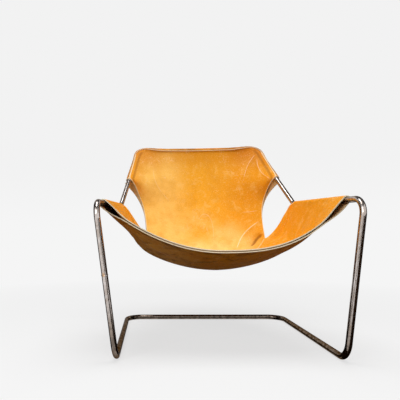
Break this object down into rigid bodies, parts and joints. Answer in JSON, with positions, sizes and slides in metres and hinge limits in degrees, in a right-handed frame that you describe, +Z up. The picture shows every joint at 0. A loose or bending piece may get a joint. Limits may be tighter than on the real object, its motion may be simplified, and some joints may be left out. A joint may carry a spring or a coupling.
{
  "type": "cantilever lounge chair",
  "caption": "Low cantilever lounge chair: a continuous bent round steel bar with a two-ply tan leather sling slipped over its arm and back rails.",
  "frame": {"origin": "on the floor under the middle of the chair's overall size", "axes": "+Z up; the sitter faces -Y; +X is the sitter's left; X = 0 is the frame's plane of symmetry"},
  "size_m": [0.7398, 0.7437, 0.7263],
  "materials": {
    "bar_steel": "aged bare steel, rubbed bright in places",
    "leather_inner": "waxed full-grain leather, satin",
    "leather_outer": "waxed full-grain leather, satin",
    "thread": "waxed linen thread"
  },
  "bodies": {
    "root": {"frame_bar": "bar_steel", "inner_panel": "leather_inner", "outer_panel": "leather_outer", "left_arm_thread": "thread", "right_arm_thread": "thread", "left_back_thread": "thread", "right_back_thread": "thread", "top_hem_thread": "thread"}
  },
  "joints": []
}
